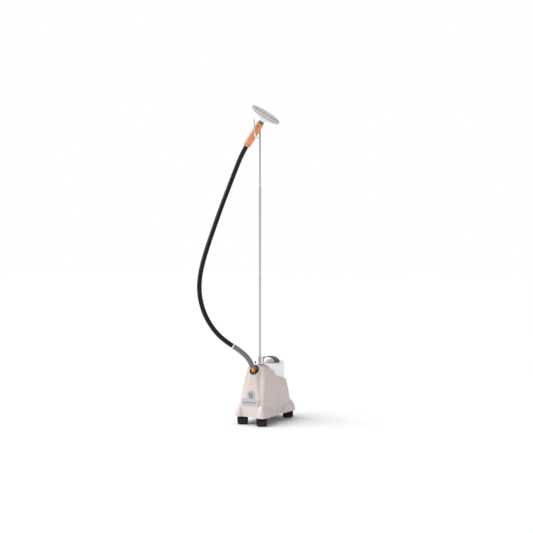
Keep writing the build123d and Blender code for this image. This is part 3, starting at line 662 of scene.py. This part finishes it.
piece("neck", turned(grip_mid, grip_way, grip_bore, 0.013, 0.0411, neck_top, 0.0025), "handpiece", steel,
      "chrome", "neck_ring")

head_spread, face_tilt = math.radians(34), math.radians(22)
head_long = Vector((math.cos(head_spread) * math.cos(lean), math.sin(head_spread),
                    -math.cos(head_spread) * math.sin(lean)))
head_side = head_long.cross(grip_way)
head_out = grip_way * math.cos(face_tilt) + head_side * math.sin(face_tilt)
head_wide = head_out.cross(head_long)
head_mid = mm(57, -35.5, 1588.5)
head_half_long, head_half_wide, head_sides = 0.083, 0.031, 96
head_turns = [2 * math.pi * k / head_sides for k in range(head_sides)]
rim_back = -0.012


def on_face(x, y, height):
    """A point along and across the face, at a height in front of its back."""
    return head_mid + head_long * x + head_wide * y + head_out * height


def oval(inset, height):
    """The head's oval, drawn in by an inset, at a height in front of the face's back."""
    half_long, half_wide = head_half_long - inset, head_half_wide - inset
    return [on_face(half_long * math.cos(t), half_wide * math.sin(t), height) for t in head_turns]


neck_across = head_out.cross(head_long).cross(grip_way).normalized()
neck_up = grip_way.cross(neck_across)
neck_end, neck_radius = grip_mid + grip_way * neck_top, 0.0148
neck_ring = [neck_end + (neck_across * math.cos(t) + neck_up * math.sin(t)) * neck_radius for t in head_turns]


def head_ring(share):
    """A ring between the round neck and the oval rim; it flares late, like a bell."""
    flare = share**1.7
    rim, rim_middle = oval(0.001, rim_back), head_mid + head_out * rim_back
    middle = neck_end.lerp(rim_middle, share)
    return [middle + (n - neck_end).lerp(r - rim_middle, flare) for n, r in zip(neck_ring, rim)]


bell_steps = 14
head_rings = [head_ring(k / bell_steps) for k in range(bell_steps + 1)]
head_rings += [oval(0.0006, -0.0085), oval(0.0012, -0.0045), oval(0.003, -0.0032)]
piece("head", skin(head_rings), "handpiece", white_plastic, "white_plastic", "head_shell")
face_rings = [oval(0.0022, -0.0010), oval(0.0004, -0.0004), oval(0, 0.0012), oval(0.0005, 0.0026),
              oval(0.002, 0.0034), oval(0.005, 0.0036)]
face_mesh = skin(face_rings)
vent_count, vent_pitch, vent_radius = 6, 0.0215, 0.0042
vent_painted_shade = []
for index in range(vent_count):
    spot = on_face(vent_pitch * (index - (vent_count - 1) / 2), 0, 0)
    face_mesh = combined(face_mesh, turned(spot, head_out, 0, vent_radius, -0.004, 0.02, 0, 32))
    # Each hole also gets a black disc almost flush with the face: painted shade standing in for the dark inside of
    # the hole.
    vent_painted_shade.append(turned(spot, head_out, 0, vent_radius - 0.0001, -0.0008, 0.0028, 0.0003, 32))


def face_bar(half_long, half_wide, low, high):
    """A bar along the middle of the face."""
    ends = rounded([(-half_long, -half_wide), (half_long, -half_wide), (half_long, half_wide),
                    (-half_long, half_wide)], half_wide * 0.9, 3)
    return prism(ends, low, high, on_face)


groove = face_bar(0.076, 0.0016, 0.0020, 0.02)
# The black discs in the vent holes: painted shade, not a part of the head.
piece("vent_painted_shade", joined(vent_painted_shade), "handpiece", black_rubber, "black_rubber")
# A dark strip laid in the bottom of the groove: painted shade standing in for the groove's own shadow.
piece("groove_painted_shade", face_bar(0.0755, 0.0015, 0.0020, 0.0029), "handpiece", dark_steel, "steel")
piece("face", combined(face_mesh, groove), "handpiece", face_plastic, "face_grey", "head_plate")

# ---- bottle, with its strap ----
bottle_half, bottle_half_deep, bottle_middle = 59, 59.7, Vector((0, 98))
bottle_outline = [(-50, 38.5), (50, 38.5), (bottle_half, 96), (bottle_half, 158), (-bottle_half, 158),
                  (-bottle_half, 96)]


def bottle_ring(inset, height):
    """The bottle's outline, scaled down so that its sides draw in by an inset, at one height."""
    x_share, y_share = 1 - inset / bottle_half, 1 - inset / bottle_half_deep
    ring = []
    for p in rounded(bottle_outline, 13):
        out = p - bottle_middle
        ring.append(mm(bottle_middle.x + out.x * x_share, bottle_middle.y + out.y * y_share, height))
    return ring


# Height, and how far the bottle's side has drawn in there.
bottle_side = [(190, 7), (192, 3), (196, 0.6), (200, 0), (289, 0), (294, 0.8), (297.5, 3), (299, 7)]
tank = skin([bottle_ring(inset, z) for z, inset in bottle_side])
hump_half, hump_foot, hump_rise = 54, 297, 22
hump_turns = [math.pi * k / 24 for k in range(25)]
hump_arc = [(hump_half * math.cos(t), hump_foot + hump_rise * math.sin(t)) for t in hump_turns]
hump = prism([*hump_arc, (-56, 270), (56, 270)], 124, 157.5, lambda x, z, y: mm(x, y, z))
mouth = turned(mm(0, 110, 164), upward, 0, 0.022, 0, 0.04, 0.001)
bottle_mesh = melted([tank, hump, mouth], 0.0016, 10)
piece("bottle", bottle_mesh, "bottle", milky_plastic, "white_plastic", "bottle_shell")

strap_y, strap_reach, strap_half_wide, strap_half_thick = 91, 51, 23, 1.5
strap_line = [(-strap_reach, 302.2), (-46, 317), (-28, 330), (0, 335), (28, 330), (46, 317),
              (strap_reach, 302.2)]
strap_path = [mm(p.x, strap_y, p.y) for p in through(strap_line, 10)]
strap_section = rounded([(-strap_half_wide, -strap_half_thick), (strap_half_wide, -strap_half_thick),
                         (strap_half_wide, strap_half_thick), (-strap_half_wide, strap_half_thick)], 1.4, 5)


def strap_rings():
    """The strap's section carried along its arch."""
    rings = []
    for i, point in enumerate(strap_path):
        way = (strap_path[min(i + 1, len(strap_path) - 1)] - strap_path[max(i - 1, 0)]).normalized()
        up = Vector((0, 1, 0)).cross(way)
        rings.append([point + mm(0, p.x, 0) + up * p.y * 0.001 for p in strap_section])
    return rings


def strap_pad(side):
    """The low pad that one end of the strap goes into; side is -1 or 1."""
    outline = rounded([(-4.5, -24.5), (4.5, -24.5), (4.5, 24.5), (-4.5, 24.5)], 3)
    rise = [(298, 1), (302.6, 1), (303.6, 0.96), (304, 0.88)]
    return skin([[mm(side * strap_reach + p.x * size, strap_y + p.y * size, z) for p in outline]
                 for z, size in rise])


piece("strap", skin(strap_rings()), "bottle", strap_vinyl, "strap", "strap_handle")
piece("strap_pads", joined([strap_pad(-1), strap_pad(1)]), "bottle", white_plastic, "white_plastic",
      "strap_anchors")

# ---- switch lever beside the pole ----
lever_lean = math.radians(12)
lever_way = Vector((0, -math.sin(lever_lean), math.cos(lever_lean)))
lever_foot = Vector(joints["switch_toggle"]["pos_m"])
lever_top = 0.0198
lever_loop = [(0, 0), (0.0030, 0), (0.0017, 0.006), (0.0022, lever_top), (0, lever_top)]
lever_mesh = lathe(lever_foot, lever_way, rounded(lever_loop, [0, 0.001, 0.004, 0.0005, 0]), 32)
piece("lever", lever_mesh, "toggle", chrome, "chrome", "toggle_lever")
piece("lever_tip", turned(lever_foot, lever_way, 0, 0.0044, lever_top + 0.0001, 0.0279, 0.0025, 40), "toggle",
      black_rubber, "black_plastic", "toggle_tip")

# ---- casters ----
wheel_radius, wheel_inner, wheel_outer = 0.02, 0.0081, 0.0276
wheel_loop = [(0, wheel_inner), (wheel_radius - 0.001, wheel_inner), (wheel_radius, wheel_inner + 0.004),
              (wheel_radius, wheel_outer - 0.008), (wheel_radius - 0.004, wheel_outer - 0.0015),
              (0.0135, wheel_outer), (0.0125, wheel_outer - 0.0025), (0.007, wheel_outer - 0.003),
              (0.0055, wheel_outer - 0.0005), (0, wheel_outer)]
wheel_edges = [0, 0.001, 0.003, 0.005, 0.004, 0.0008, 0.001, 0.001, 0.001, 0]
corners = ("fl", "fr", "rl", "rr")


def wheel_pair(corner):
    """A caster's two wheels, one each side of its body."""
    roll, loop = joints[f"caster_roll_{corner}"], rounded(wheel_loop, wheel_edges, 4)
    return joined([lathe(Vector(roll["pos_m"]), Vector(roll["axis"]) * side, loop, 56) for side in (-1, 1)])


def caster_hood(corner):
    """A caster's body: a hood over both wheels, a hub between them, a swivel ring and a stem."""
    roll, swivel = joints[f"caster_roll_{corner}"], joints[f"caster_swivel_{corner}"]
    axle, way = Vector(roll["pos_m"]), Vector(roll["axis"])
    back = upward.cross(way)
    turns = [math.radians(12 + 156 * k / 28) for k in range(29)]
    outer, inner, axle_bore = 0.0214, 0.0203, 0.00305
    outline = [(math.cos(t) * outer, math.sin(t) * outer) for t in turns]
    outline += [(math.cos(t) * inner, math.sin(t) * inner) for t in reversed(turns)]
    hood = prism(outline, -wheel_outer, wheel_outer, lambda x, y, h: axle + back * x + upward * y + way * h)
    hub = turned(axle, way, 0, 0.0195, -0.0075, 0.0075, 0.001)
    foot = Vector((*swivel["pos_m"][:2], 0))
    ring = turned(foot, upward, 0, 0.0125, 0.036, 0.0477, 0.0015)
    stem = turned(foot, upward, 0, 0.0045, 0.04, 0.075, 0.001, 32)
    body = combined(combined(hood, hub, "UNION"), combined(ring, stem, "UNION"), "UNION")
    return combined(body, turned(axle, way, 0, axle_bore, -0.05, 0.05, 0, 32))


for corner in corners:
    piece(f"wheels_{corner}", wheel_pair(corner), f"wheels_{corner}", wheel_plastic, "wheel",
          f"caster_wheels_{corner}")
for corner in corners:
    piece(f"hood_{corner}", caster_hood(corner), f"caster_{corner}", wheel_plastic, "black_plastic",
          f"caster_fork_{corner}")

# ---- floor, light and sky ----
floor_half = 90
floor_outline = [(-floor_half, -floor_half), (floor_half, -floor_half), (floor_half, floor_half),
                 (-floor_half, floor_half)]
floor = bpy.data.objects.new("floor", prism(floor_outline, -0.02, 0, lambda x, y, z: Vector((x, y, z))))
floor.data.materials.append(finish("pale_floor", (0.93, 0.93, 0.93), (0.95, 0.95, 0.95), (0.55, 0.65), 40,
                                   0.0001, tone_scale=2))
bpy.context.scene.collection.objects.link(floor)


def soft_sun(name, way, strength, spread_degrees):
    """A broad, even light that shines along a direction."""
    lamp = bpy.data.lights.new(name, "SUN")
    lamp.energy, lamp.angle = strength, math.radians(spread_degrees)
    holder = bpy.data.objects.new(name, lamp)
    holder.rotation_euler = Vector(way).to_track_quat("-Z", "Y").to_euler()
    bpy.context.scene.collection.objects.link(holder)


soft_sun("key", (0.5, 0.7, -0.95), 1.8, 45)
soft_sun("left", (1.0, 0.4, -0.6), 0.6, 30)
world = bpy.data.worlds.new("sky")
bpy.context.scene.world = world
world.use_nodes = True
sky = world.node_tree.nodes["Background"]
sky.inputs["Color"].default_value = (1, 1, 1, 1)
sky.inputs["Strength"].default_value = 0.64
seen_sky = world.node_tree.nodes.new("ShaderNodeBackground")
seen_sky.inputs["Color"].default_value = (1, 1, 1, 1)
chooser = world.node_tree.nodes.new("ShaderNodeMixShader")
rays = world.node_tree.nodes.new("ShaderNodeLightPath")
links, world_output = world.node_tree.links, world.node_tree.nodes["World Output"]
links.new(rays.outputs["Is Camera Ray"], chooser.inputs["Fac"])
links.new(sky.outputs["Background"], chooser.inputs[1])
links.new(seen_sky.outputs["Background"], chooser.inputs[2])
links.new(chooser.outputs["Shader"], world_output.inputs["Surface"])
bpy.context.scene.view_settings.view_transform = "Standard"
